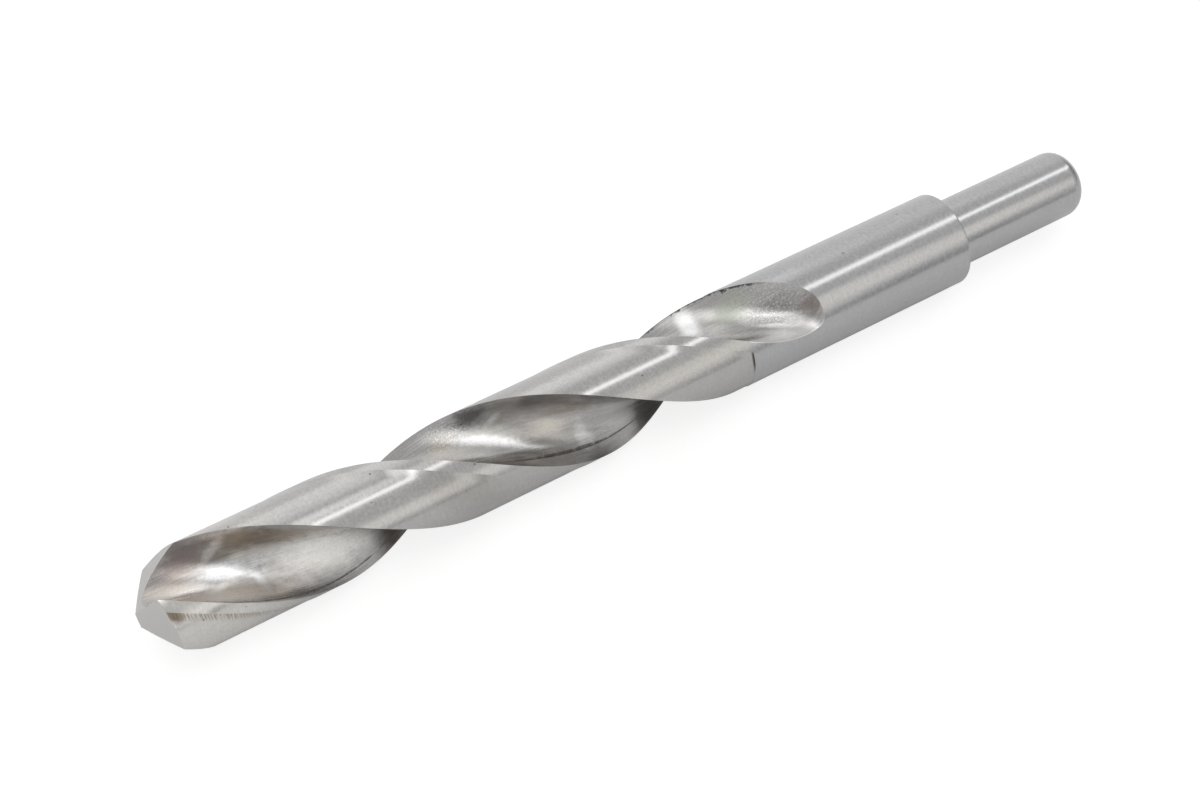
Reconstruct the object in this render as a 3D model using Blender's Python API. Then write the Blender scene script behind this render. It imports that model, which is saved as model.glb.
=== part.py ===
"""Twist drill with a reduced shank, ground from one bar of high speed steel.

The axis lies along X. The shank ends at X = 0 and the point reaches towards -X. The drill
lies on its side, as on a bench, so its lowest line is one body radius below the axis.
Sections are drawn as complex numbers: the real part runs along +Y, the imaginary part along +Z.
"""

import math

import bmesh
import bpy
import numpy as np

MM = 0.001

# Overall sizes
OVERALL_LENGTH = 191.3 * MM
BODY_DIAMETER = 18.0 * MM
SHANK_DIAMETER = 13.0 * MM
SHANK_LENGTH = 30.8 * MM
SHOULDER_ROUNDING = 0.4 * MM
SHANK_END_ROUNDING = 3.0 * MM

# Flutes, two of them, right handed
FLUTES = 2
LEAD = 102.0 * MM
FLUTE_LENGTH = 127.4 * MM
FLUTE_OPENING = math.radians(93.65)
HEEL_WALL_TILT = math.radians(9.0)
WEB_TAPER = 0.015
RUNOUT_WHEEL_RADIUS = 25.0 * MM
RUNOUT_LAG = math.radians(8.0)
RUNOUT_ROUNDING = 0.6

# The flute's root, a curve from the heel to the inner end of the straight rake face
RAKE_INNER_RADIUS = 4.6 * MM
ROOT_PULL_AT_RAKE = 3.5 * MM
ROOT_PULL_AT_HEEL = 4.6 * MM
FLUTE_OVERRUN = 0.2 * MM

# Lands: a narrow margin at full diameter, and the relieved body clearance behind it
MARGIN_WIDTH = 2.1 * MM
CLEARANCE_DEPTH = 0.13 * MM
CLEARANCE_FILLET = 1.6 * MM
CLEARANCE_LENGTH = 111.9 * MM
CLEARANCE_STEP = 0.1 * MM

# Point, with a notch ground behind each flank that thins the web
POINT_ANGLE = math.radians(136.0)
POINT_WEB = 2.4 * MM
LIP_RELIEF = math.radians(4.5)
FLANK_CURVATURE_RADIUS = 22.7 * MM
NOTCH_ANGLE = math.radians(52.9)
NOTCH_DIRECTION = math.radians(117.1)
NOTCH_DEPTH_AT_AXIS = -1.45 * MM
NOTCH_WALL_GAP = 0.02 * MM
CORNER_DIRECTION = math.radians(114.6)

# Fineness of the mesh
TWIST_PER_RING = math.radians(7.5)
RUNOUT_RINGS = 18
MARGIN_STEPS = 4
FILLET_STEPS = 3
LAND_STEPS = 12
FLUTE_STEPS = 13
FLUTE_SAMPLES = 160
ROUNDING_STEPS = 6
FLANK_STEPS = 18
SMOOTH_ANGLE = math.radians(25)
WELD_DISTANCE = 0.002 * MM

STEEL_COLOUR = (0.56, 0.55, 0.53, 1.0)
STEEL_ROUGHNESS = 0.28

# Values that follow from the sizes above
BODY_RADIUS = BODY_DIAMETER / 2
SHANK_RADIUS = SHANK_DIAMETER / 2
PITCH = 2 * math.pi / FLUTES
LAND_ANGLE = PITCH - FLUTE_OPENING
TWIST = 2 * math.pi / LEAD
LIP_OFFSET = POINT_WEB / 2
LIP_REACH = math.sqrt(BODY_RADIUS**2 - LIP_OFFSET**2)
LIP_RISE = 1 / math.tan(POINT_ANGLE / 2)
FLUTE_CENTRE = LAND_ANGLE + FLUTE_OPENING / 2


def flank_height(across, behind):
    """Axial height of a flank over its outer corner, at a place across and behind its lip.

    The flank is straight along the lip. Behind the lip it falls away by the lip relief, and more
    steeply further back, as the side of a large grinding wheel leaves it.
    """
    curve = max(behind, 0.0) ** 2 / (2 * FLANK_CURVATURE_RADIUS)
    return (across - LIP_REACH) * LIP_RISE + behind * math.tan(LIP_RELIEF) + curve


# The chisel edge crosses the axis at the very end of the drill
CORNER_STATION = -flank_height(0.0, LIP_OFFSET)


def polar(radius, angle):
    """A point of a section, from its radius and its angle."""
    return radius * np.exp(1j * angle)


def leading_angle(station):
    """Direction of the first leading edge, at a distance from the point."""
    return CORNER_DIRECTION + TWIST * (station - CORNER_STATION)


def rake_angle(radius):
    """Angle of the flute's rake face, seen from its leading edge.

    Moved along the helix, this curve holds the whole straight lip.
    """
    reach = np.sqrt(radius**2 - LIP_OFFSET**2)
    offset = math.asin(LIP_OFFSET / BODY_RADIUS) - np.arcsin(LIP_OFFSET / radius)
    return offset + TWIST * (LIP_REACH - reach) * LIP_RISE


def bezier(start, first, second, end, count):
    """Points of a cubic curve."""
    t = np.linspace(0, 1, count)
    near = (1 - t) ** 3 * start + 3 * (1 - t) ** 2 * t * first
    return near + 3 * (1 - t) * t**2 * second + t**3 * end


def flute_curve():
    """The flute's outline from the heel to the next leading edge, which lies at angle PITCH.

    At both ends it runs on a little way out of the bar, and flute_part cuts it off.
    """
    outside = BODY_RADIUS + FLUTE_OVERRUN
    radii = np.linspace(RAKE_INNER_RADIUS, outside, FLUTE_SAMPLES // 2)
    rake = polar(radii, rake_angle(radii))
    inward = (rake[0] - rake[1]) / abs(rake[0] - rake[1])
    heel = polar(BODY_RADIUS, -FLUTE_OPENING)
    wall = -heel / BODY_RADIUS * np.exp(1j * HEEL_WALL_TILT)
    first = heel + ROOT_PULL_AT_HEEL * wall
    second = rake[0] + ROOT_PULL_AT_RAKE * inward
    side = bezier(heel, first, second, rake[0], FLUTE_SAMPLES // 2)
    beyond = [heel - FLUTE_OVERRUN * wall]
    return np.concatenate([beyond, side, rake[1:]]) * np.exp(1j * PITCH)


FLUTE_CURVE = flute_curve()


def core_radius(points):
    return np.abs(points).min()


def thickened(points, station):
    """The web grows towards the shank, while both edges of the flute stay at the surface."""
    core = core_radius(points)
    growth = WEB_TAPER / 2 * max(station - CORNER_STATION, 0.0)
    radius = np.abs(points)
    share = (BODY_RADIUS - radius) / (BODY_RADIUS - core)
    return points * (1 + growth * np.clip(share, 0, 1) / radius)


def full_depth_length():
    """Distance from the point at which the wheel starts to leave the flute."""
    depth = BODY_RADIUS - core_radius(thickened(FLUTE_CURVE, FLUTE_LENGTH))
    return FLUTE_LENGTH - math.sqrt(depth * (2 * RUNOUT_WHEEL_RADIUS - depth))


FULL_DEPTH_LENGTH = full_depth_length()


def wheel_lift(station):
    """How far the grinding wheel has moved out of the flute."""
    travel = max(station - FULL_DEPTH_LENGTH, 0.0)
    return RUNOUT_WHEEL_RADIUS - math.sqrt(RUNOUT_WHEEL_RADIUS**2 - travel**2)


def runout_share(station):
    """0 up to the full depth's end, and 1 where the wheel has left the bar."""
    share = (station - FULL_DEPTH_LENGTH) / (FLUTE_LENGTH - FULL_DEPTH_LENGTH)
    return min(max(share, 0.0), 1.0)


def along(points, count):
    """Points at equal distances along a line of points."""
    lengths = np.concatenate([[0], np.cumsum(np.abs(np.diff(points)))])
    places = np.linspace(0, lengths[-1], count + 1)
    real = np.interp(places, lengths, points.real)
    return real + 1j * np.interp(places, lengths, points.imag)


def rounded(points, station):
    """The wheel's own round profile takes over from the flute's form in the run-out."""
    chord = points[-1] - points[0]
    places = (points - points[0]) / chord
    deepest = places.imag[np.abs(places.imag).argmax()]
    t = np.linspace(0, 1, FLUTE_SAMPLES)
    arc = points[0] + chord * (t + 4j * deepest * t * (1 - t))
    share = min(runout_share(station) / RUNOUT_ROUNDING, 1.0)
    blend = share**2 * (3 - 2 * share)
    return (1 - blend) * points + blend * along(arc, FLUTE_STEPS)


def crossing(outside, inside, radius):
    """The point at which a short step from outside to inside meets a circle."""
    share = (abs(outside) - radius) / (abs(outside) - abs(inside))
    return outside + share * (inside - outside)


def clearance_depth(station):
    share = (CLEARANCE_LENGTH - station) / CLEARANCE_STEP
    return CLEARANCE_DEPTH * min(max(share, 0.0), 1.0)


def flute_part(station):
    """The part of a flute that cuts into the bar, or its last point where it has left the bar."""
    heel_radius = BODY_RADIUS - clearance_depth(station)
    lifted = thickened(FLUTE_CURVE, station) + polar(wheel_lift(station), FLUTE_CENTRE)
    points = lifted * np.exp(-1j * RUNOUT_LAG * runout_share(station) ** 2)
    limits = np.where(np.arange(len(points)) < len(points) // 2, heel_radius, BODY_RADIUS)
    within = np.nonzero(np.abs(points) < limits)[0]
    if station >= FLUTE_LENGTH or len(within) < 3:
        end = polar(BODY_RADIUS, FLUTE_CENTRE - RUNOUT_LAG)
        return np.full(FLUTE_STEPS + 1, end)
    first, last = within[0], within[-1]
    heel = crossing(points[first - 1], points[first], heel_radius)
    corner = crossing(points[last + 1], points[last], BODY_RADIUS)
    inner = points[first : last + 1]
    outline = along(np.concatenate([[heel], inner, [corner]]), FLUTE_STEPS)
    return rounded(outline, station)


def land_part(station, start, end):
    """The land's outline from its leading edge to its heel, both left out."""
    depth = clearance_depth(station)
    margin = MARGIN_WIDTH / BODY_RADIUS
    fillet = CLEARANCE_FILLET / BODY_RADIUS
    steps = MARGIN_STEPS + FILLET_STEPS + LAND_STEPS
    detailed = np.concatenate(
        [
            np.linspace(start, margin, MARGIN_STEPS + 1)[1:],
            margin + fillet * np.linspace(0, 1, FILLET_STEPS + 1)[1:],
            np.linspace(margin + fillet, end, LAND_STEPS + 1)[1:-1],
        ]
    )
    even = np.linspace(start, end, steps + 1)[1:-1]
    blend = (station - CLEARANCE_LENGTH) / (FLUTE_LENGTH - CLEARANCE_LENGTH)
    blend = np.clip(blend, 0, 1)
    angles = (1 - blend) * detailed + blend * even
    fall = np.clip((angles - margin) / fillet, 0, 1)
    return polar(BODY_RADIUS - depth * (1 - (1 - fall) ** 2), angles)


def section(station):
    """One whole section of the fluted length, as points around the axis."""
    flute = flute_part(station)
    start = np.angle(flute[-1] * np.exp(-1j * PITCH))
    end = np.angle(flute[0])
    half = np.concatenate([land_part(station, start, end), flute])
    direction = leading_angle(min(station, FLUTE_LENGTH))
    turns = [np.exp(1j * (direction + k * PITCH)) for k in range(FLUTES)]
    return np.concatenate([half * turn for turn in turns])


def fluted_stations():
    """Distances from the point of the rings, closer together in the run-out."""
    step = TWIST_PER_RING / TWIST
    begin = -LIP_OFFSET
    helical = np.arange(begin, FULL_DEPTH_LENGTH, step)
    share = np.sin(np.linspace(0, math.pi / 2, RUNOUT_RINGS + 1))
    runout = FULL_DEPTH_LENGTH + share * (FLUTE_LENGTH - FULL_DEPTH_LENGTH)
    ends = [CLEARANCE_LENGTH - CLEARANCE_STEP, CLEARANCE_LENGTH]
    clear = step / 4
    others = [
        s
        for s in np.concatenate([helical, runout])
        if min(abs(s - e) for e in ends) > clear
    ]
    return sorted(others + ends)


def rounded_edge(station, radius, rounding):
    """Stations and radii of an edge that turns from a cylinder into a flat end."""
    turn = np.linspace(0, math.pi / 2, ROUNDING_STEPS + 1)
    stations = station - rounding * (1 - np.sin(turn))
    radii = radius - rounding * (1 - np.cos(turn))
    return list(zip(stations, radii))


def shank_profile():
    """Stations and radii from the end of the body to the end of the shank."""
    shoulder = OVERALL_LENGTH - SHANK_LENGTH
    body = rounded_edge(shoulder, BODY_RADIUS, SHOULDER_ROUNDING)
    shank = rounded_edge(OVERALL_LENGTH, SHANK_RADIUS, SHANK_END_ROUNDING)
    return body + [(shoulder, SHANK_RADIUS)] + shank


def add_ring(bm, points, station):
    x = station - OVERALL_LENGTH
    return [bm.verts.new((x, p.real, p.imag)) for p in points]


def bridge(bm, near, far):
    """Quads between two rings, with their outer side away from the axis."""
    count = len(near)
    for i in range(count):
        j = (i + 1) % count
        bm.faces.new((near[i], near[j], far[j], far[i]))


def steel():
    material = bpy.data.materials.new("ground_steel")
    material.use_nodes = True
    shader = material.node_tree.nodes["Principled BSDF"]
    shader.inputs["Base Color"].default_value = STEEL_COLOUR
    shader.inputs["Metallic"].default_value = 1.0
    shader.inputs["Roughness"].default_value = STEEL_ROUGHNESS
    return material


def add_object(name, bm):
    bmesh.ops.recalc_face_normals(bm, faces=bm.faces)
    mesh = bpy.data.meshes.new(name)
    bm.to_mesh(mesh)
    bm.free()
    obj = bpy.data.objects.new(name, mesh)
    bpy.context.scene.collection.objects.link(obj)
    return obj


def make_blank():
    """The fluted and stepped bar, still square at its point."""
    bm = bmesh.new()
    rings = [add_ring(bm, section(s), s) for s in fluted_stations()]
    plain = section(FLUTE_LENGTH) / BODY_RADIUS
    rings += [add_ring(bm, plain * radius, s) for s, radius in shank_profile()]
    for near, far in zip(rings, rings[1:]):
        bridge(bm, near, far)
    bm.faces.new(rings[0])
    bm.faces.new(rings[-1])
    bmesh.ops.remove_doubles(bm, verts=bm.verts, dist=WELD_DISTANCE)
    return add_object("twist_drill", bm)


def point_frame(side):
    """Unit vectors across a lip, outwards, and behind it, as complex numbers."""
    direction = CORNER_DIRECTION + math.asin(LIP_OFFSET / BODY_RADIUS) + side * PITCH
    across = np.exp(1j * direction)
    return across, across * 1j


def placed(side, across, behind, height):
    """A point given in a lip's own frame, with its height over the outer corner."""
    along_lip, square = point_frame(side)
    p = along_lip * across + square * behind
    return (CORNER_STATION + height - OVERALL_LENGTH, p.real, p.imag)


def hide_cutter(obj):
    obj.hide_render = True
    obj.display_type = "WIRE"
    return obj


def flank_cutter(side):
    """What the wheel takes off in front of one flank: a curved profile drawn out along the lip."""
    reach = 1.5 * BODY_RADIUS
    tail = -3 * BODY_RADIUS
    behind = np.concatenate([[-reach], np.linspace(0, reach, FLANK_STEPS)])
    bm = bmesh.new()
    ends = []
    for across in (-reach, reach):
        profile = [(b - LIP_OFFSET, flank_height(across, b)) for b in behind]
        profile += [(reach, tail), (-reach, tail)]
        ends.append([bm.verts.new(placed(side, across, b, h)) for b, h in profile])
    bridge(bm, ends[0], ends[1])
    bm.faces.new(ends[0])
    bm.faces.new(ends[1])
    return hide_cutter(add_object(f"flank_cutter_{side + 1}", bm))


def notch_height(across, behind):
    """Height over the outer corner of the notch's flat floor."""
    toward = across * math.cos(NOTCH_DIRECTION) + behind * math.sin(NOTCH_DIRECTION)
    return NOTCH_DEPTH_AT_AXIS - CORNER_STATION + toward * math.tan(NOTCH_ANGLE)


def notch_cutter(side):
    """The notch behind one flank. It stops at a wall in line with the other lip."""
    reach = 1.5 * BODY_RADIUS
    wall = LIP_OFFSET + NOTCH_WALL_GAP
    tail = -5 * BODY_RADIUS
    corners = [(-reach, wall), (reach, wall), (reach, reach), (-reach, reach)]
    bm = bmesh.new()
    top = [bm.verts.new(placed(side, a, b, notch_height(a, b))) for a, b in corners]
    base = [bm.verts.new(placed(side, a, b, tail)) for a, b in corners]
    bridge(bm, base, top)
    bm.faces.new(base)
    bm.faces.new(top)
    return hide_cutter(add_object(f"notch_cutter_{side + 1}", bm))


def grind_point(blank):
    for side in range(FLUTES):
        for cutter in (flank_cutter(side), notch_cutter(side)):
            modifier = blank.modifiers.new(cutter.name, "BOOLEAN")
            modifier.operation = "DIFFERENCE"
            modifier.solver = "EXACT"
            modifier.object = cutter


for old in list(bpy.data.objects):
    bpy.data.objects.remove(old)

drill = make_blank()
drill.data.materials.append(steel())
grind_point(drill)
drill.data.shade_smooth()
drill.data.set_sharp_from_angle(angle=SMOOTH_ANGLE)
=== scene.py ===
import math
from collections import namedtuple

import bpy
import numpy as np
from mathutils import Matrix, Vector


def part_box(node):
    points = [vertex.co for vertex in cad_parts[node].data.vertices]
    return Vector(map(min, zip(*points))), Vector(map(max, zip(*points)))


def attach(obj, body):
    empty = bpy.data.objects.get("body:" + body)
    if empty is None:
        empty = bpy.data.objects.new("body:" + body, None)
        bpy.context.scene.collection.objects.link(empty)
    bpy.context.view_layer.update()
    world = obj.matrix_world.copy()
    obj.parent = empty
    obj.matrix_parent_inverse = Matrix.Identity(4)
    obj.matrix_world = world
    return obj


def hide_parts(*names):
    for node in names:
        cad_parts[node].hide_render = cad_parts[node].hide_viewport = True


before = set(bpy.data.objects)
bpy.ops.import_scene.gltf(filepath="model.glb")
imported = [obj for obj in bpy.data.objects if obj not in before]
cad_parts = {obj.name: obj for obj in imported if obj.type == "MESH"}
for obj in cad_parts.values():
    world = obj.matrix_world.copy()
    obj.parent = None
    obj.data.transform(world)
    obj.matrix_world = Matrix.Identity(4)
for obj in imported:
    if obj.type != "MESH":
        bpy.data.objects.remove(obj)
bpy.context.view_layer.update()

# The bar: one rod of high speed steel, turned to the body's size and stepped down to the shank.
# It lies along X with the end of the shank at X = 0, and the point reaches towards -X.
# Places along it are given from the point, so station 0 is the very tip.
MM = 0.001
LOW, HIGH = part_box("twist_drill")
LENGTH = -LOW.x
BODY_RADIUS = HIGH.z
SHANK_RADIUS = 6.5 * MM
SHANK_LENGTH = 30.8 * MM
SHOULDER = LENGTH - SHANK_LENGTH
SHOULDER_ROUNDING = 0.4 * MM
SHANK_END_ROUNDING = 3.0 * MM
ROUNDING_STEPS = 14


def rounded_edge(station, radius, rounding):
    """Stations and radii round an outer edge of the bar."""
    turn = np.linspace(0, math.pi / 2, ROUNDING_STEPS + 1)
    stations = station - rounding * (1 - np.sin(turn))
    radii = radius - rounding * (1 - np.cos(turn))
    return list(zip(stations, radii))


bar_profile = rounded_edge(SHOULDER, BODY_RADIUS, SHOULDER_ROUNDING)
bar_profile.append((SHOULDER, SHANK_RADIUS))
bar_profile += rounded_edge(LENGTH, SHANK_RADIUS, SHANK_END_ROUNDING)

# The lips: two straight cutting edges beside the axis. The flutes' rake faces and the flanks
# behind the lips both follow from them, so they come first.
POINT_ANGLE = math.radians(136.0)
LIP_OFFSET = 1.2 * MM
LIP_RELIEF = math.radians(4.5)
LIP_REACH = math.sqrt(BODY_RADIUS**2 - LIP_OFFSET**2)
LIP_RISE = 1 / math.tan(POINT_ANGLE / 2)
FLANK_CURVATURE_RADIUS = 22.7 * MM
CORNER_DIRECTION = math.radians(114.6)


def flank_height(across, behind):
    """Height of a flank over its outer corner, across and behind its lip."""
    curve = max(behind, 0.0) ** 2 / (2 * FLANK_CURVATURE_RADIUS)
    return (across - LIP_REACH) * LIP_RISE + behind * math.tan(LIP_RELIEF) + curve


CORNER_STATION = -flank_height(0.0, LIP_OFFSET)

# The flutes: two helical grooves that a profiled wheel grinds along the bar. Sections are drawn
# as complex numbers, the real part along Y and the imaginary part along Z.
LEAD = 102.0 * MM
TWIST = 2 * math.pi / LEAD
FLUTE_LENGTH = 127.4 * MM
FLUTE_OPENING = math.radians(93.65)
FLUTE_CENTRE = math.pi - FLUTE_OPENING + FLUTE_OPENING / 2
RAKE_INNER_RADIUS = 4.6 * MM
ROOT_PULL_AT_RAKE = 3.5 * MM
ROOT_PULL_AT_HEEL = 4.6 * MM
HEEL_WALL_TILT = math.radians(9.0)
FLUTE_OVERRUN = 0.2 * MM
WEB_TAPER = 0.015
RUNOUT_WHEEL_RADIUS = 25.0 * MM
RUNOUT_LAG = math.radians(8.0)
RUNOUT_ROUNDING = 0.6
FLUTE_STEPS = 56
FLUTE_SAMPLES = 600


def polar(radius, angle):
    return radius * np.exp(1j * angle)


def leading_angle(station):
    return CORNER_DIRECTION + TWIST * (station - CORNER_STATION)


def rake_angle(radius):
    """The rake face, moved along the helix, holds the whole straight lip."""
    reach = np.sqrt(radius**2 - LIP_OFFSET**2)
    offset = math.asin(LIP_OFFSET / BODY_RADIUS) - np.arcsin(LIP_OFFSET / radius)
    return offset + TWIST * (LIP_REACH - reach) * LIP_RISE


def flute_curve():
    """The flute's outline from the heel to the next leading edge, a little longer at both ends."""
    radii = np.linspace(RAKE_INNER_RADIUS, BODY_RADIUS + FLUTE_OVERRUN, FLUTE_SAMPLES // 2)
    rake = polar(radii, rake_angle(radii))
    inward = (rake[0] - rake[1]) / abs(rake[0] - rake[1])
    heel = polar(BODY_RADIUS, -FLUTE_OPENING)
    wall = -heel / BODY_RADIUS * np.exp(1j * HEEL_WALL_TILT)
    first = heel + ROOT_PULL_AT_HEEL * wall
    second = rake[0] + ROOT_PULL_AT_RAKE * inward
    t = np.linspace(0, 1, FLUTE_SAMPLES // 2)
    side = (1 - t) ** 3 * heel + 3 * (1 - t) ** 2 * t * first
    side = side + 3 * (1 - t) * t**2 * second + t**3 * rake[0]
    return -np.concatenate([[heel - FLUTE_OVERRUN * wall], side, rake[1:]])


FLUTE_CURVE = flute_curve()


def thickened(points, station):
    """The web grows towards the shank."""
    radius = np.abs(points)
    growth = WEB_TAPER / 2 * max(station - CORNER_STATION, 0.0)
    share = (BODY_RADIUS - radius) / (BODY_RADIUS - radius.min())
    return points * (1 + growth * np.clip(share, 0, 1) / radius)


DEPTH_AT_END = BODY_RADIUS - np.abs(thickened(FLUTE_CURVE, FLUTE_LENGTH)).min()
RUNOUT_LENGTH = math.sqrt(DEPTH_AT_END * (2 * RUNOUT_WHEEL_RADIUS - DEPTH_AT_END))
FULL_DEPTH_LENGTH = FLUTE_LENGTH - RUNOUT_LENGTH


def along(points, count):
    """Points at equal distances along a line of points."""
    lengths = np.concatenate([[0], np.cumsum(np.abs(np.diff(points)))])
    places = np.linspace(0, lengths[-1], count + 1)
    real = np.interp(places, lengths, points.real)
    return real + 1j * np.interp(places, lengths, points.imag)


def rounded(points, station):
    """The wheel's own round profile takes over from the flute's form in the run-out."""
    chord = points[-1] - points[0]
    places = (points - points[0]) / chord
    deepest = places.imag[np.abs(places.imag).argmax()]
    t = np.linspace(0, 1, FLUTE_SAMPLES)
    arc = points[0] + chord * (t + 4j * deepest * t * (1 - t))
    share = (station - FULL_DEPTH_LENGTH) / (RUNOUT_LENGTH * RUNOUT_ROUNDING)
    share = min(max(share, 0.0), 1.0)
    blend = share**2 * (3 - 2 * share)
    return (1 - blend) * points + blend * along(arc, FLUTE_STEPS)


# The lands: what the flutes leave of the bar. Each keeps a narrow margin at full size behind its
# leading edge, and the rest of it is ground 0.13 mm lower, up to a small step near the run-out.
MARGIN_WIDTH = 2.1 * MM
CLEARANCE_DEPTH = 0.13 * MM
CLEARANCE_FILLET = 1.6 * MM
CLEARANCE_LENGTH = 111.9 * MM
CLEARANCE_STEP = 0.1 * MM
MARGIN_STEPS = 7
FILLET_STEPS = 8
LAND_STEPS = 24


def clearance_depth(station):
    share = (CLEARANCE_LENGTH - station) / CLEARANCE_STEP
    return CLEARANCE_DEPTH * min(max(share, 0.0), 1.0)


def land_part(station, start, end):
    """A land's outline between its leading edge and its heel, both left out."""
    margin = MARGIN_WIDTH / BODY_RADIUS
    fillet = CLEARANCE_FILLET / BODY_RADIUS
    steps = MARGIN_STEPS + FILLET_STEPS + LAND_STEPS
    on_margin = np.linspace(start, margin, MARGIN_STEPS + 1)[1:]
    on_fillet = margin + fillet * np.linspace(0, 1, FILLET_STEPS + 1)[1:]
    on_land = np.linspace(margin + fillet, end, LAND_STEPS + 1)[1:-1]
    detailed = np.concatenate([on_margin, on_fillet, on_land])
    even = np.linspace(start, end, steps + 1)[1:-1]
    blend = (station - CLEARANCE_LENGTH) / (FLUTE_LENGTH - CLEARANCE_LENGTH)
    blend = min(max(blend, 0), 1)
    angles = (1 - blend) * detailed + blend * even
    fall = np.clip((angles - margin) / fillet, 0, 1)
    return polar(BODY_RADIUS - clearance_depth(station) * (1 - (1 - fall) ** 2), angles)


def crossing(outside, inside, radius):
    """Where the line between two points meets a radius."""
    share = (abs(outside) - radius) / (abs(outside) - abs(inside))
    return outside + share * (inside - outside)


def flute_part(station):
    """A flute's outline between two lands, or one point where the wheel has left the bar."""
    heel_radius = BODY_RADIUS - clearance_depth(station)
    travel = max(station - FULL_DEPTH_LENGTH, 0.0)
    lift = RUNOUT_WHEEL_RADIUS - math.sqrt(RUNOUT_WHEEL_RADIUS**2 - travel**2)
    lag = RUNOUT_LAG * min(travel / RUNOUT_LENGTH, 1.0) ** 2
    lifted = thickened(FLUTE_CURVE, station) + polar(lift, FLUTE_CENTRE)
    points = lifted * np.exp(-1j * lag)
    limits = np.where(np.arange(len(points)) < len(points) // 2, heel_radius, BODY_RADIUS)
    within = np.nonzero(np.abs(points) < limits)[0]
    if station >= FLUTE_LENGTH or len(within) < 3:
        return np.full(FLUTE_STEPS + 1, polar(BODY_RADIUS, FLUTE_CENTRE - RUNOUT_LAG))
    first, last = within[0], within[-1]
    heel = crossing(points[first - 1], points[first], heel_radius)
    corner = crossing(points[last + 1], points[last], BODY_RADIUS)
    inner = points[first : last + 1]
    outline = along(np.concatenate([[heel], inner, [corner]]), FLUTE_STEPS)
    return rounded(outline, station)


# The skin: one closed surface over rings of points round the bar, each of two like halves. Every
# point keeps how far it lies from the leading edge along the steel, in millimetres: above zero
# over the land and below zero across the flute. Stains, painted light and grinding lines are
# placed by that.
TWIST_PER_RING = math.radians(2.0)
RUNOUT_RINGS = 60
WELD_DISTANCE = 0.002 * MM
LAND_POINTS = MARGIN_STEPS + FILLET_STEPS + LAND_STEPS - 1
HALF = LAND_POINTS + FLUTE_STEPS + 1
RING = 2 * HALF
LAND, MARGIN, FLUTE, POINT, BAR = range(5)

Ring = namedtuple("Ring", "points starts ends land_heel flute_heel")


def ring(station):
    """A ring's points, and each one's distance where a face starts at it and where one ends."""
    flute = flute_part(station)
    edge = -flute[-1]
    land = land_part(station, np.angle(edge), np.angle(flute[0]))
    half = np.concatenate([land, flute])
    reach = np.cumsum(np.abs(np.diff(np.concatenate([[edge], half]))))
    over_land, around = reach[LAND_POINTS], reach[-1]
    ends = np.where(np.arange(HALF) <= LAND_POINTS, reach, reach - around)
    starts = ends.copy()
    starts[LAND_POINTS] = over_land - around
    turn = np.exp(1j * leading_angle(min(station, FLUTE_LENGTH)))
    return Ring(
        points=np.concatenate([half, -half]) * turn,
        starts=np.tile(starts, 2) / MM,
        ends=np.tile(ends, 2) / MM,
        land_heel=over_land / MM,
        flute_heel=-around / MM + over_land / MM,
    )


def fluted_stations():
    """Where the rings lie: close together in the run-out, and one on each side of the step."""
    step = TWIST_PER_RING / TWIST
    helical = np.arange(-LIP_OFFSET, FULL_DEPTH_LENGTH, step)
    share = np.sin(np.linspace(0, math.pi / 2, RUNOUT_RINGS + 1))
    runout = FULL_DEPTH_LENGTH + share * RUNOUT_LENGTH
    sides = [CLEARANCE_LENGTH - CLEARANCE_STEP, CLEARANCE_LENGTH]
    regular = np.concatenate([helical, runout])
    clear = [s for s in regular if min(abs(s - side) for side in sides) > step / 4]
    return sorted(clear + sides)


def wrap(stations, rings):
    """One closed skin over the rings, with distances from edge and heel in two UV maps."""
    vertices = [(s - LENGTH, p.real, p.imag) for s, r in zip(stations, rings) for p in r.points]
    faces, ground, from_heel, kinds = [], [], [], []
    for k, (first, second) in enumerate(zip(rings, rings[1:])):
        here, there = k * RING, (k + 1) * RING
        near, far = stations[k] / MM, stations[k + 1] / MM
        v = (near, near, far, far)
        middle = (stations[k] + stations[k + 1]) / 2
        for i in range(RING):
            j = (i + 1) % RING
            faces.append((here + i, here + j, there + j, there + i))
            # the leading edge closes each half, and its land starts again from nothing
            begins = [0.0 if i % HALF == HALF - 1 else r.starts[i] for r in (first, second)]
            u = (begins[0], first.ends[j], second.ends[j], begins[1])
            reach = (u[0] + u[1]) / 2
            heels = [r.flute_heel if reach < 0 else r.land_heel for r in (first, second)]
            heels = (heels[0], heels[0], heels[1], heels[1])
            ground += zip(u, v)
            from_heel += [(a - heel, b) for a, heel, b in zip(u, heels, v)]
            if reach < 0 and middle < FLUTE_LENGTH:
                kinds.append(FLUTE)
            elif middle > CLEARANCE_LENGTH:
                kinds.append(BAR)
            else:
                kinds.append(MARGIN if reach < MARGIN_WIDTH / MM else LAND)
    last = (len(rings) - 1) * RING
    faces += [tuple(reversed(range(RING))), tuple(range(last, last + RING))]
    kinds += [POINT, BAR]
    mesh = bpy.data.meshes.new("ground_drill")
    mesh.from_pydata(vertices, [], faces)
    for name, places in (("ground", ground), ("from_heel", from_heel)):
        places += [(0, 0)] * (2 * RING)
        mesh.uv_layers.new(name=name)
        mesh.uv_layers[name].data.foreach_set("uv", np.array(places, np.float32).ravel())
    mesh.polygons.foreach_set("material_index", kinds)
    return mesh


def choose(obj):
    for other in bpy.context.selected_objects:
        other.select_set(False)
    obj.select_set(True)
    bpy.context.view_layer.objects.active = obj


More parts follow.
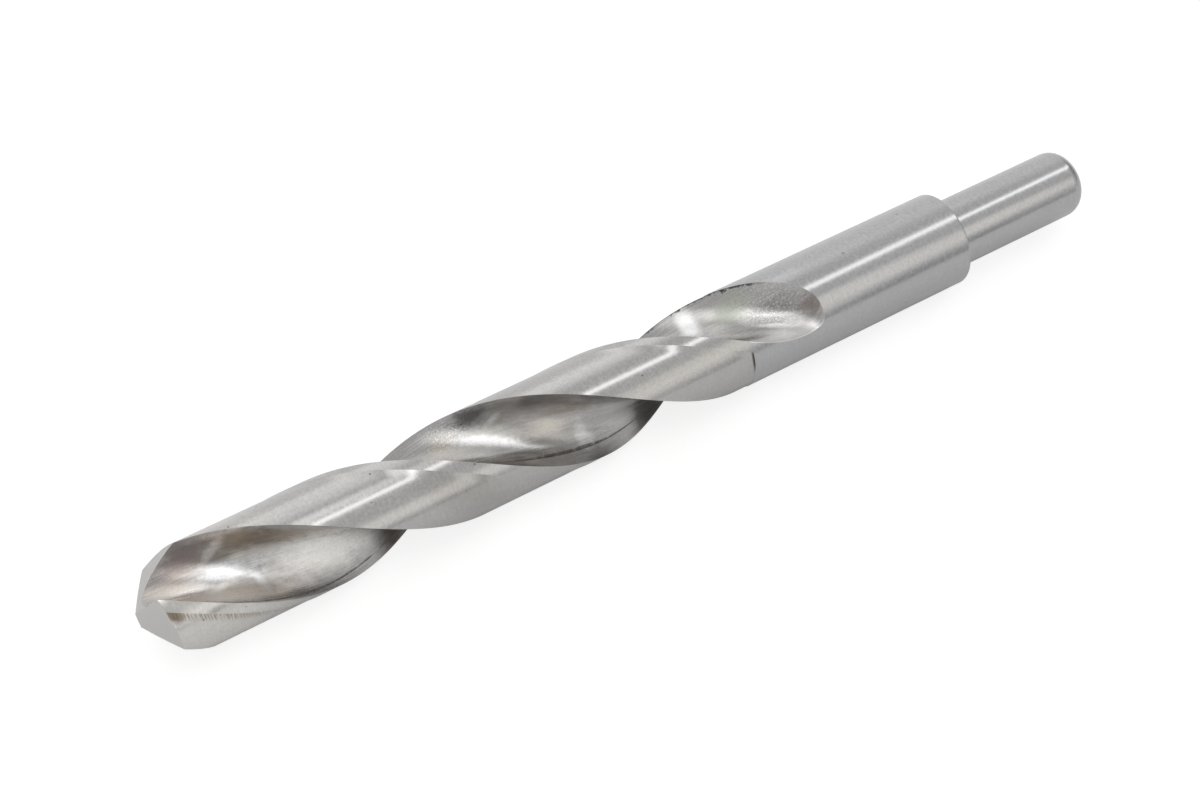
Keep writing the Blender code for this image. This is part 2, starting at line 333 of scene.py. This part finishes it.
def faced_outwards(obj, weld=None):
    """All faces turned outwards, after points closer than the weld are merged."""
    choose(obj)
    bpy.ops.object.mode_set(mode="EDIT")
    bpy.ops.mesh.select_all(action="SELECT")
    if weld:
        bpy.ops.mesh.remove_doubles(threshold=weld)
    bpy.ops.mesh.normals_make_consistent(inside=False)
    bpy.ops.object.mode_set(mode="OBJECT")


stations = fluted_stations()
rings = [ring(station) for station in stations]
plain = rings[-1].points / BODY_RADIUS
for station, radius in bar_profile:
    stations.append(station)
    rings.append(rings[-1]._replace(points=plain * radius))
drill = bpy.data.objects.new("ground_drill", wrap(stations, rings))
bpy.context.scene.collection.objects.link(drill)
faced_outwards(drill, WELD_DISTANCE)

# The point: two flanks ground by the side of a large wheel, and a notch behind each that thins
# the web down to a short chisel edge. Closed blocks in the shape of the wheels cut them.
NOTCH_ANGLE = math.radians(52.9)
NOTCH_DIRECTION = math.radians(117.1)
NOTCH_DEPTH_AT_AXIS = -1.45 * MM
NOTCH_WALL_GAP = 0.02 * MM
FLANK_STEPS = 60
WHEEL_REACH = 1.5 * BODY_RADIUS
LIP_DIRECTION = CORNER_DIRECTION + math.asin(LIP_OFFSET / BODY_RADIUS)
SMOOTH_ANGLE = math.radians(20)

STEELS = "relieved_land", "ground_margin", "polished_flute", "sharpened_point", "ground_bar"
steels = [bpy.data.materials.new(name) for name in STEELS]


def add_steels(obj):
    for steel in steels:
        obj.data.materials.append(steel)


def placed(side, across, behind, height):
    """A point in a lip's own frame: across the lip, behind it, and over its outer corner."""
    p = np.exp(1j * (LIP_DIRECTION + side * math.pi)) * (across + 1j * behind)
    return (CORNER_STATION + height - LENGTH, p.real, p.imag)


def cutter(name, near, far):
    """A closed block between two outlines with the same number of corners."""
    count = len(near)
    faces = [(i, (i + 1) % count, (i + 1) % count + count, i + count) for i in range(count)]
    faces += [tuple(reversed(range(count))), tuple(range(count, 2 * count))]
    mesh = bpy.data.meshes.new(name)
    mesh.from_pydata(near + far, [], faces)
    obj = bpy.data.objects.new(name, mesh)
    bpy.context.scene.collection.objects.link(obj)
    faced_outwards(obj)
    add_steels(obj)
    mesh.polygons.foreach_set("material_index", [POINT] * len(mesh.polygons))
    return obj


def flank_cutter(side):
    behind = np.concatenate([[-WHEEL_REACH], np.linspace(0, WHEEL_REACH, FLANK_STEPS)])
    ends = []
    for across in (-WHEEL_REACH, WHEEL_REACH):
        outline = [(b - LIP_OFFSET, flank_height(across, b)) for b in behind]
        outline += [(WHEEL_REACH, -2 * WHEEL_REACH), (-WHEEL_REACH, -2 * WHEEL_REACH)]
        ends.append([placed(side, across, b, height) for b, height in outline])
    return cutter("flank_cutter", *ends)


def notch_cutter(side):
    wall, reach = LIP_OFFSET + NOTCH_WALL_GAP, WHEEL_REACH
    corners = [(-reach, wall), (reach, wall), (reach, reach), (-reach, reach)]
    floor = []
    for a, b in corners:
        toward = a * math.cos(NOTCH_DIRECTION) + b * math.sin(NOTCH_DIRECTION)
        height = NOTCH_DEPTH_AT_AXIS - CORNER_STATION + toward * math.tan(NOTCH_ANGLE)
        floor.append(placed(side, a, b, height))
    base = [placed(side, a, b, -4 * reach) for a, b in corners]
    return cutter("notch_cutter", base, floor)


add_steels(drill)
for side in (0, 1):
    for wheel in (flank_cutter(side), notch_cutter(side)):
        choose(drill)
        cut = drill.modifiers.new("cut", "BOOLEAN")
        cut.operation = "DIFFERENCE"
        cut.solver = "MANIFOLD"
        cut.object = wheel
        bpy.ops.object.modifier_apply(modifier="cut")
        bpy.data.objects.remove(wheel)

# every edge of the point stays sharp, and so does the line between margin and land
choose(drill)
bpy.ops.object.shade_smooth_by_angle(angle=SMOOTH_ANGLE)
sides = {}
for face in drill.data.polygons:
    for key in face.edge_keys:
        sides.setdefault(key, set()).add(face.material_index)
for edge in drill.data.edges:
    meeting = sides[edge.key]
    if POINT in meeting and len(meeting) > 1 or meeting == {LAND, MARGIN}:
        edge.use_edge_sharp = True

# The finish that all surfaces share: one bright steel, with fine lines from the grinding wheel,
# a slight unevenness and a few pits. Soft patches lay stains, painted highlights and painted shade
# on it.
PIT_COLOUR = (0.12, 0.11, 0.10, 1)
# the colour of the painted highlight along the leading edges
RIM_HIGHLIGHT_COLOUR = (0.95, 0.95, 0.93, 1)
NO_LIMIT = 1000


class Nodes:
    """Short ways to add nodes to one tree."""

    def __init__(self, tree):
        self.tree = tree

    def add(self, kind, inputs=None, **settings):
        made = self.tree.nodes.new("ShaderNode" + kind)
        for name, value in settings.items():
            setattr(made, name, value)
        for key, value in (inputs or {}).items():
            if isinstance(value, bpy.types.NodeSocket):
                self.feed(value, made.inputs[key])
            else:
                made.inputs[key].default_value = value
        return made

    def feed(self, value, socket):
        self.tree.links.new(value, socket)

    def maths(self, operation, *values):
        return self.add("Math", dict(enumerate(values)), operation=operation).outputs[0]

    def times(self, first, second):
        return self.maths("MULTIPLY", first, second)

    def times_plus(self, first, second, third):
        return self.maths("MULTIPLY_ADD", first, second, third)

    def plus(self, first, second):
        return self.maths("ADD", first, second)

    def minus(self, first, second):
        return self.maths("SUBTRACT", first, second)

    def vector(self, operation, first, second):
        return self.add("VectorMath", {0: first, 1: second}, operation=operation).outputs

    def scaled(self, vector, x, y, z):
        return self.vector("MULTIPLY", vector, (x, y, z))[0]

    def noise(self, vector, detail, roughness):
        inputs = {"Vector": vector, "Scale": 1.0, "Detail": detail, "Roughness": roughness}
        return self.add("TexNoise", inputs).outputs["Fac"]

    def ramp(self, value, low, high):
        inputs = {"Value": value, "From Min": low, "From Max": high}
        return self.add("MapRange", inputs, interpolation_type="SMOOTHSTEP").outputs["Result"]

    def mix(self, factor, first, second, **settings):
        inputs = {0: factor, 6: first, 7: second}
        return self.add("Mix", inputs, data_type="RGBA", **settings).outputs[2]

    def dimmed(self, colour, grey):
        return self.mix(1.0, colour, grey, blend_type="MULTIPLY")

    def group(self, tree, inputs):
        return self.add("Group", inputs, node_tree=tree).outputs


def new_group(name, inputs, outputs):
    tree = bpy.data.node_groups.new(name, "ShaderNodeTree")
    for label, kind in inputs.items():
        tree.interface.new_socket(name=label, in_out="INPUT", socket_type="NodeSocket" + kind)
    for label in outputs:
        tree.interface.new_socket(name=label, in_out="OUTPUT", socket_type="NodeSocketFloat")
    given = tree.nodes.new("NodeGroupInput").outputs
    result = tree.nodes.new("NodeGroupOutput").inputs
    return Nodes(tree), given, result


# fine lines round the bar and a fine unevenness, both 0 to 1, and pits, 1 in small dark holes
nodes, given, result = new_group("turned_grain", {"Place": "Vector"}, ("Lines", "Uneven", "Pits"))
place = given["Place"]
coarse = nodes.noise(nodes.scaled(place, 3200, 240, 240), 3.0, 0.6)
fine = nodes.noise(nodes.scaled(place, 7000, 1100, 1100), 2.0, 0.6)
nodes.feed(nodes.plus(nodes.times(coarse, 0.5), nodes.times(fine, 0.5)), result["Lines"])
nodes.feed(nodes.noise(nodes.scaled(place, 1900, 1900, 1900), 2.0, 0.6), result["Uneven"])
spots = {"Vector": nodes.scaled(place, 330, 330, 330), "Scale": 1.0}
cells = nodes.add("TexVoronoi", spots).outputs
chosen = nodes.ramp(nodes.add("SeparateColor", {0: cells["Color"]}).outputs[0], 0.62, 0.66)
hole = nodes.ramp(cells["Distance"], 0.075, 0.04)
nodes.feed(nodes.times(hole, chosen), result["Pits"])
turned_grain = nodes.tree

# a soft patch with a ragged outline at a place of the ground map, 1 inside it
spot = {"Place": "Vector", "Centre": "Vector", "Reach": "Vector", "Ragged": "Float"}
nodes, given, result = new_group("patch", spot, ("Mask",))
offset = nodes.vector("SUBTRACT", given["Place"], given["Centre"])[0]
offset = nodes.vector("DIVIDE", offset, given["Reach"])[0]
far = nodes.add("VectorMath", {0: offset}, operation="LENGTH").outputs["Value"]
cloud = nodes.noise(nodes.scaled(given["Place"], 0.9, 0.55, 1.0), 3.0, 0.55)
torn = nodes.times(nodes.minus(cloud, 0.5), given["Ragged"])
nodes.feed(nodes.ramp(nodes.plus(far, torn), 1.3, 0.25), result["Mask"])
patch = nodes.tree


def patch_mask(nodes, ground, centre, reach, ragged):
    """A patch by its centre and reach in millimetres."""
    inputs = {"Place": ground, "Centre": (*centre, 0), "Reach": (*reach, NO_LIMIT)}
    return nodes.group(patch, {**inputs, "Ragged": ragged})["Mask"]


def painted(nodes, colour, ground, marks):
    """Lay marks over a colour: centre and reach in millimetres, raggedness, tint and strength."""
    for centre, reach, ragged, tint, strength in marks:
        mask = patch_mask(nodes, ground, centre, reach, ragged)
        colour = nodes.mix(nodes.times(mask, strength), colour, (*tint, 1))
    return colour


def streaked(nodes, colour, ground, marks):
    """Lay straight streaks over a colour: two ends and a width in millimetres, tint, strength."""
    for start, end, width, tint, strength in marks:
        run = complex(end[0] - start[0], end[1] - start[1])
        slant = math.atan2(run.imag, run.real)
        middle = complex(start[0] + end[0], start[1] + end[1]) / 2 * np.exp(-1j * slant)
        inputs = {"Vector": ground, "Rotation": (0, 0, -slant)}
        along_run = nodes.add("Mapping", inputs).outputs[0]
        size = (abs(run) / 2, width / 2)
        mask = patch_mask(nodes, along_run, (middle.real, middle.imag), size, 0.8)
        colour = nodes.mix(nodes.times(mask, strength), colour, (*tint, 1))
    return colour


def bumped(nodes, shader, heights):
    """Stack bumps, each a height from 0 to 1 with its depth in millimetres."""
    normal = None
    for height, depth in heights:
        inputs = {"Height": height, "Distance": depth * MM, "Strength": 1.0}
        if normal:
            inputs["Normal"] = normal
        normal = nodes.add("Bump", inputs).outputs[0]
    nodes.feed(normal, shader.inputs["Normal"])


def bare_steel(material):
    """The start of each steel: its shader, its place in space and its place on the ground map."""
    material.use_nodes = True
    nodes = Nodes(material.node_tree)
    shader = material.node_tree.nodes["Principled BSDF"]
    shader.inputs["Metallic"].default_value = 1.0
    place = nodes.add("TexCoord").outputs["Object"]
    ground = nodes.add("UVMap", uv_map="ground").outputs[0]
    return nodes, shader, place, ground


def turned(material, roughness, colour, marks=(), depth=0.0030):
    """Steel with lines round the bar, and the tone that its surface has so far."""
    nodes, shader, place, ground = bare_steel(material)
    grain = nodes.group(turned_grain, {"Place": place})
    both = nodes.plus(grain["Lines"], grain["Uneven"])
    grey = nodes.times_plus(nodes.ramp(both, 0.55, 1.45), 0.17, 0.795)
    tone = nodes.dimmed(painted(nodes, (*colour, 1), ground, marks), grey)
    tone = nodes.mix(nodes.times(grain["Pits"], 0.75), tone, PIT_COLOUR)
    rough = nodes.times_plus(grain["Uneven"], 0.12, roughness - 0.045)
    nodes.feed(rough, shader.inputs["Roughness"])
    bumped(nodes, shader, [(grain["Lines"], depth), (grain["Uneven"], depth * 0.6)])
    return nodes, shader, ground, tone


# The bar's surface: the plain body and the shank, bright from the lathe and the grinder. A painted
# highlight along the leading edge stands for the rim catching the light where the flute runs out.
nodes, shader, ground, tone = turned(steels[BAR], 0.18, (0.60, 0.60, 0.605))
along_u, along_v = nodes.add("SeparateXYZ", {0: ground}).outputs[:2]
rim = nodes.times(nodes.ramp(along_u, 0.22, 0.06), nodes.ramp(along_v, 127.2, 126.6))
tone = nodes.mix(nodes.times(rim, 0.8), tone, RIM_HIGHLIGHT_COLOUR)
nodes.feed(tone, shader.inputs["Base Color"])

# The lands' surface: ground like the bar, with a painted sheen near the point, a scorched corner,
# a painted dark reflection halfway along, a dark line of painted shade in the step, and brown
# streaks below the margin, where the edge ran hot.
LAND_STAINS_AND_PAINTED_LIGHT = [
    # a painted sheen near the point
    ((7.0, 10.0), (8.5, 14.0), 0.4, (0.86, 0.835, 0.80), 0.92),
    ((2.7, 4.7), (1.5, 1.4), 0.7, (0.17, 0.125, 0.09), 0.9),
    # a painted dark reflection halfway along
    ((5.5, 55.0), (5.0, 8.5), 0.5, (0.50, 0.48, 0.46), 0.6),
    # a line of painted shade in the step
    ((3.7, 111.78), (2.9, 0.36), 0.3, (0.09, 0.08, 0.07), 0.95),
]
HEAT_COLOUR = (0.33, 0.27, 0.195, 1)
nodes, shader, ground, tone = turned(steels[LAND], 0.17, (0.62, 0.61, 0.595), LAND_STAINS_AND_PAINTED_LIGHT)
along_u, along_v = nodes.add("SeparateXYZ", {0: ground}).outputs[:2]
streaks = nodes.noise(nodes.scaled(ground, 0.25, 8.0, 1.0), 2.0, 0.6)
heat = nodes.ramp(nodes.minus(along_u, nodes.times_plus(streaks, 3.6, 1.3)), 0.6, -0.6)
heat = nodes.times(heat, nodes.ramp(along_v, 27.0, 9.0))
heat = nodes.times(heat, nodes.ramp(streaks, 0.42, 0.56))
tone = nodes.mix(nodes.times(heat, 0.85), tone, HEAT_COLOUR)
nodes.feed(tone, shader.inputs["Base Color"])

# The margins' surface: the same steel, ground finer, with a painted sheen near the point, and
# crossed there by one dark streak.
MARGIN_PAINTED_SHEEN = [((1.0, 12.0), (2.4, 13.0), 0.6, (0.88, 0.855, 0.815), 0.8)]
MARGIN_STREAKS = [((0.0, 12.8), (2.1, 9.4), 0.9, (0.42, 0.40, 0.37), 0.6)]
MARGIN_COLOUR = (0.61, 0.60, 0.59)
nodes, shader, ground, tone = turned(steels[MARGIN], 0.17, MARGIN_COLOUR, MARGIN_PAINTED_SHEEN, 0.0012)
tone = streaked(nodes, tone, ground, MARGIN_STREAKS)
nodes.feed(tone, shader.inputs["Base Color"])

# The flutes' surface: polished along the groove, with painted shade under the heel, painted
# highlights and pale paint over dark reflections, darker patches, a few green stains, a fine step
# near the leading edge with painted shade along it, and a black burr along the heel of the
# run-out.
FLUTE_STAINS_AND_PAINTED_LIGHT = [
    # near the point: painted shade under the heel, a painted highlight, pale paint over dark
    # reflections, darker patches and a green stain
    ((-13.4, 10.5), (3.0, 5.2), 0.9, (0.19, 0.155, 0.145), 0.85),
    ((-10.9, 15.0), (0.8, 3.6), 1.0, (0.20, 0.17, 0.155), 0.75),
    ((-12.2, 23.0), (2.6, 12.0), 0.9, (0.30, 0.26, 0.215), 0.8),
    ((-7.9, 15.2), (2.2, 6.0), 1.3, (0.86, 0.86, 0.87), 0.75),
    ((-13.4, 19.4), (2.4, 5.4), 0.8, (0.15, 0.125, 0.10), 0.85),
    ((-6.4, 8.6), (2.8, 3.8), 0.8, (1.0, 0.96, 0.91), 0.8),
    ((-11.6, 8.2), (1.7, 4.0), 0.8, (0.28, 0.23, 0.215), 0.75),
    ((-8.9, 6.0), (2.3, 5.0), 0.9, (0.74, 0.66, 0.58), 0.65),
    ((-3.2, 13.0), (3.4, 13.0), 0.8, (0.96, 0.90, 0.84), 0.92),
    ((-6.6, 31.0), (4.8, 9.8), 0.7, (1.0, 0.98, 0.955), 0.95),
    ((-10.2, 17.6), (0.6, 1.5), 0.9, (0.66, 0.66, 0.52), 0.4),
    ((-0.9, 23.0), (1.0, 7.0), 1.0, (0.16, 0.145, 0.13), 0.65),
    ((-5.0, 43.2), (7.5, 3.8), 0.6, (0.12, 0.10, 0.09), 0.92),
    # halfway along: painted shade under the heel, a painted milky highlight, darker patches and a
    # green stain
    ((-9.0, 57.0), (5.0, 6.0), 0.9, (0.46, 0.44, 0.41), 0.5),
    ((-11.0, 56.0), (1.9, 3.0), 1.0, (0.60, 0.53, 0.44), 0.4),
    ((-12.6, 73.0), (3.5, 12.5), 0.8, (0.30, 0.28, 0.26), 0.72),
    ((-13.2, 69.5), (2.4, 5.4), 0.8, (0.24, 0.225, 0.21), 0.8),
    ((-13.7, 62.3), (2.1, 3.3), 1.0, (0.12, 0.11, 0.11), 0.95),
    ((-10.5, 77.0), (1.1, 6.0), 1.7, (0.30, 0.265, 0.215), 0.6),
    ((-10.4, 64.8), (0.7, 2.8), 1.0, (0.62, 0.64, 0.52), 0.5),
    ((-8.3, 73.0), (1.8, 5.6), 0.9, (0.72, 0.675, 0.61), 0.65),
    ((-6.5, 87.0), (3.2, 5.0), 0.8, (0.70, 0.69, 0.68), 0.6),
    ((-4.6, 79.2), (3.2, 1.8), 1.5, (0.90, 0.89, 0.87), 0.6),
    ((-4.5, 96.2), (9.5, 6.0), 0.5, (0.11, 0.10, 0.09), 0.92),
    ((-4.2, 93.6), (5.0, 3.2), 0.5, (0.12, 0.11, 0.10), 0.85),
    # in the run-out: pale paint over a shadow, a painted highlight, green stains and darker
    # patches
    ((-1.4, 112.5), (2.6, 13.0), 0.5, (0.98, 0.98, 0.98), 0.95),
    ((-11.8, 106.6), (3.9, 1.9), 0.6, (1.0, 1.0, 1.0), 1.0),
    ((-6.2, 119.6), (3.2, 6.6), 1.2, (0.30, 0.295, 0.29), 0.75),
    ((-10.7, 114.2), (2.7, 4.2), 1.3, (0.52, 0.545, 0.475), 0.8),
    ((-13.0, 115.2), (1.6, 2.2), 1.2, (0.48, 0.50, 0.43), 0.6),
    ((-3.8, 125.9), (2.6, 2.2), 1.6, (0.26, 0.22, 0.20), 0.85),
    ((-2.6, 123.6), (2.2, 3.0), 1.0, (0.42, 0.41, 0.40), 0.6),
]
# two ends, width, tint and strength; the white streaks are painted highlights
FLUTE_STREAKS_AND_PAINTED_HIGHLIGHTS = [
    # near the point
    ((-14.6, 17.4), (-10.4, 12.0), 1.7, (0.66, 0.63, 0.60), 0.5),
    ((-7.4, 16.0), (-3.6, 9.8), 1.4, (1.0, 0.97, 0.93), 0.7),
    ((-7.4, 18.8), (-2.8, 20.2), 1.8, (0.95, 0.95, 0.95), 0.8),
    # halfway along
    ((-12.4, 59.5), (-8.6, 68.5), 1.7, (0.34, 0.33, 0.32), 0.6),
    ((-11.2, 57.2), (-6.6, 68.8), 2.2, (1.0, 1.0, 1.0), 0.9),
    ((-7.0, 69.0), (-3.6, 76.5), 2.6, (0.31, 0.30, 0.29), 0.85),
    ((-12.8, 67.0), (-10.8, 63.4), 1.2, (0.60, 0.60, 0.58), 0.55),
    # in the run-out
    ((-8.8, 115.8), (-3.0, 126.0), 0.9, (0.90, 0.90, 0.90), 0.3),
    ((-4.6, 121.4), (-2.0, 126.4), 1.8, (0.36, 0.35, 0.34), 0.7),
    ((-6.0, 116.6), (-2.4, 122.5), 1.1, (0.90, 0.90, 0.90), 0.7),
    ((-9.4, 118.0), (-4.4, 126.0), 0.4, (0.25, 0.24, 0.23), 0.5),
]
STEP_SHADE_COLOUR = (0.10, 0.09, 0.085, 1)
BURR_COLOUR = (0.07, 0.06, 0.055, 1)
nodes, shader, place, ground = bare_steel(steels[FLUTE])
heel = nodes.add("UVMap", uv_map="from_heel").outputs[0]
along_u, along_v = nodes.add("SeparateXYZ", {0: ground}).outputs[:2]
from_heel = nodes.add("SeparateXYZ", {0: heel}).outputs[0]
drawn = nodes.noise(nodes.scaled(ground, 5.0, 0.16, 1.0), 3.0, 0.65)
sparkle = nodes.noise(nodes.scaled(place, 2600, 2600, 2600), 2.0, 0.6)
tone = nodes.mix(nodes.ramp(drawn, 0.25, 0.75), (0.46, 0.445, 0.435, 1), (0.55, 0.54, 0.53, 1))
tone = painted(nodes, tone, ground, FLUTE_STAINS_AND_PAINTED_LIGHT)
tone = streaked(nodes, tone, ground, FLUTE_STREAKS_AND_PAINTED_HIGHLIGHTS)
grain = nodes.ramp(nodes.plus(drawn, sparkle), 0.6, 1.4)
tone = nodes.dimmed(tone, nodes.times_plus(grain, 0.20, 0.88))

# the step: a line of painted shade along it, broken in places and thicker halfway along
line_place = nodes.times_plus(nodes.ramp(along_v, 14.0, 62.0), -2.2, -0.42)
beside = nodes.minus(along_u, line_place)
thick = nodes.times(nodes.ramp(along_v, 64.0, 72.0), nodes.ramp(along_v, 84.0, 78.0))
line = nodes.ramp(nodes.plus(beside, nodes.times_plus(thick, 0.45, 0.30)), 0.0, 0.24)
line = nodes.times(line, nodes.ramp(beside, 0.16, 0.02))
broken = nodes.ramp(nodes.noise(nodes.scaled(ground, 0.4, 0.5, 1.0), 3.0, 0.7), 0.30, 0.52)
stretch = nodes.times(nodes.ramp(along_v, 9.0, 16.0), nodes.ramp(along_v, 104.0, 96.0))
line = nodes.times(line, nodes.times(broken, stretch))
tone = nodes.mix(nodes.times(line, 0.75), tone, STEP_SHADE_COLOUR)

# the burr: crumbs of burnt metal along the heel of the run-out
crumbs = nodes.noise(nodes.scaled(ground, 1.3, 1.1, 1.0), 4.0, 0.75)
width = nodes.times_plus(crumbs, 3.4, -1.72)
width = nodes.times_plus(nodes.ramp(along_v, 109.0, 114.0), 0.3, width)
width = nodes.maths("MAXIMUM", width, 0.03)
burr = nodes.ramp(nodes.minus(from_heel, width), 0.16, -0.02)
burnt = nodes.times(nodes.ramp(along_v, 94.0, 101.0), nodes.ramp(along_v, 121.0, 118.5))
tone = nodes.mix(nodes.times(nodes.times(burr, burnt), 0.9), tone, BURR_COLOUR)

# the rim: a painted highlight along the leading edge, brighter in the run-out
brighter = nodes.times_plus(nodes.ramp(along_v, 108.0, 113.0), 0.6, 0.2)
tone = nodes.mix(nodes.times(nodes.ramp(along_u, -0.16, -0.05), brighter), tone, RIM_HIGHLIGHT_COLOUR)

# matt patches, with centre, reach and the roughness that they add
rough = nodes.times_plus(drawn, 0.16, 0.15)
for centre, reach, more in (
    ((-11.2, 113.8), (2.4, 3.4), 0.25),
    ((-6.0, 28.0), (5.0, 8.5), 0.26),
    ((-4.0, 15.0), (3.6, 9.0), 0.14),
    ((-8.5, 63.5), (3.0, 7.0), 0.12),
    ((-11.5, 106.5), (4.5, 3.5), 0.18),
    ((-1.2, 115.0), (2.4, 11.0), 0.28),
    ((-6.5, 76.0), (4.0, 7.0), 0.14),
):
    rough = nodes.times_plus(patch_mask(nodes, ground, centre, reach, 0.9), more, rough)
nodes.feed(rough, shader.inputs["Roughness"])

# coarse patches, which glitter: rougher bumps, and white specks painted into the colour as glints
painted_glints = nodes.noise(nodes.scaled(place, 3600, 3600, 3600), 2.0, 0.6)
painted_glints = nodes.ramp(painted_glints, 0.50, 0.64)
coarse = 1.0
for centre, reach in (((-12.4, 57.5), (3.6, 4.2)), ((-9.0, 121.0), (7.0, 7.0))):
    mask = patch_mask(nodes, ground, centre, reach, 0.9)
    coarse = nodes.times_plus(mask, 4.0, coarse)
    tone = nodes.mix(nodes.times(nodes.times(painted_glints, mask), 0.35), tone, (1.0, 1.0, 1.0, 1))
nodes.feed(tone, shader.inputs["Base Color"])
step = nodes.times(nodes.ramp(beside, -0.12, 0.05), stretch)
bumped(nodes, shader, [(drawn, 0.008), (nodes.times(sparkle, coarse), 0.0035), (step, 0.05)])

# The point's surface: matt from the grinding wheel, with its lines across each facet. It is the
# last of the drill's surfaces, so the piece is handed over here.
SCRATCHES = {"Rotation": (0.5, 0.3, 0.9), "Scale": (8500, 420, 420)}
nodes, shader, place, ground = bare_steel(steels[POINT])
slanted = nodes.add("Mapping", {"Vector": place, **SCRATCHES}).outputs[0]
scratches = nodes.noise(slanted, 3.0, 0.65)
tone = nodes.ramp(scratches, 0.25, 0.75)
tone = nodes.mix(tone, (0.65, 0.64, 0.625, 1), (0.69, 0.68, 0.665, 1))
nodes.feed(tone, shader.inputs["Base Color"])
nodes.feed(nodes.times_plus(scratches, 0.2, 0.36), shader.inputs["Roughness"])
bumped(nodes, shader, [(scratches, 0.002)])

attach(drill, "root")
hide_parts("twist_drill")

# The floor: a plain white board just under the drill. The camera sees it whiter than it lights
# the steel, and its front is a little darker than behind the drill, as painted shade.
FLOOR_SIZE = 4.0
FLOOR_GAP = 0.02 * MM
SHADED_FRONT_WHITE = (0.81, 0.81, 0.81, 1)
BACK_WHITE = (0.98, 0.98, 0.98, 1)
bpy.ops.mesh.primitive_plane_add(size=FLOOR_SIZE, location=(-0.1, 0, -BODY_RADIUS - FLOOR_GAP))
floor = bpy.context.object
floor.name = "floor"
board = bpy.data.materials.new("white_board")
board.use_nodes = True
nodes = Nodes(board.node_tree)
shader = board.node_tree.nodes["Principled BSDF"]
shader.inputs["Roughness"].default_value = 0.9
across = nodes.add("SeparateXYZ", {0: nodes.add("TexCoord").outputs["Object"]}).outputs[1]
white = nodes.mix(nodes.ramp(across, -0.005, 0.035), SHADED_FRONT_WHITE, BACK_WHITE)
nodes.feed(white, shader.inputs["Base Color"])
glow = nodes.add("Emission", {"Color": (1, 1, 1, 1), "Strength": 1.32}).outputs[0]
seen = nodes.times(nodes.add("LightPath").outputs["Is Camera Ray"], 0.6)
both = nodes.add("MixShader", {0: seen, 1: shader.outputs[0], 2: glow}).outputs[0]
nodes.feed(both, board.node_tree.nodes["Material Output"].inputs["Surface"])
floor.data.materials.append(board)

# The light: a white tent round the table. It is plain and even, a little brighter behind, with
# one long lamp above that draws the narrow white line along the round surfaces, and a warm window
# in front on the right.
TENT = 0.61
LAMP = 1.40
LAMP_SIDE = (-0.303, 0.920, 0.246)
LAMP_OTHER_SIDE = (0.303, -0.920, -0.246)
world = bpy.data.worlds.new("studio")
bpy.context.scene.world = world
world.use_nodes = True
nodes = Nodes(world.node_tree)
toward = nodes.add("TexCoord").outputs["Generated"]


def compass(azimuth, elevation):
    """A direction, with azimuth 0 towards -Y and 90 towards +X, in degrees."""
    a, e = math.radians(azimuth), math.radians(elevation)
    return (math.sin(a) * math.cos(e), -math.cos(a) * math.cos(e), math.sin(e))


def nearness(direction, full, none):
    """1 within full degrees of a direction, and 0 beyond none."""
    dot = nodes.vector("DOT_PRODUCT", toward, direction)["Value"]
    return nodes.ramp(dot, math.cos(math.radians(none)), math.cos(math.radians(full)))


# panels that are brighter or darker than the tent: direction, full, none and strength
level = TENT
for direction, full, none, strength in (
    (compass(172, 45), 8, 30, 0.36),
    (compass(145, 8), 22, 50, 0.20),
    (compass(3, 12), 12, 30, 0.18),
    (compass(9, 0), 2, 11, -0.30),
    (compass(30, 3), 3, 14, -0.24),
    (compass(97, 12), 12, 34, -0.26),
    (compass(137, 84), 5, 12, 0.70),
    (compass(-48, 70), 12, 24, 0.85),
):
    level = nodes.plus(level, nodes.times(nearness(direction, full, none), strength))
lamp = nodes.times(nearness(LAMP_SIDE, 91.6, 96), nearness(LAMP_OTHER_SIDE, 91.6, 96))
lamp = nodes.times(lamp, nearness(compass(66, 62), 28, 46))
level = nodes.plus(level, nodes.times(lamp, LAMP))
window = nodes.times(nearness(compass(38, 32), 5, 17.5), 0.39)
window = nodes.times_plus(nearness(compass(16, 22), 5, 14), 0.22, window)
level = nodes.plus(level, window)
red = nodes.times_plus(window, 0.07, level)
blue = nodes.times_plus(window, -0.12, level)
light = nodes.add("CombineXYZ", {0: red, 1: level, 2: blue}).outputs[0]
light = nodes.mix(nodes.add("LightPath").outputs["Is Camera Ray"], light, (1, 1, 1, 1))
nodes.feed(light, world.node_tree.nodes["Background"].inputs["Color"])

# The camera: it looks down along the drill from the point's side, in front and to the left. Its
# place and turn were fitted to the drill's outlines and helical edges.
camera_data = bpy.data.cameras.new("camera")
camera_data.lens = 51.26
camera_data.sensor_width = 36
camera = bpy.data.objects.new("camera", camera_data)
bpy.context.scene.collection.objects.link(camera)
camera.location = (-0.20479, -0.16029, 0.22953)
camera.rotation_euler = (math.radians(39.29), 0, math.radians(-31.64))
bpy.context.scene.camera = camera
bpy.context.scene.view_settings.view_transform = "Standard"
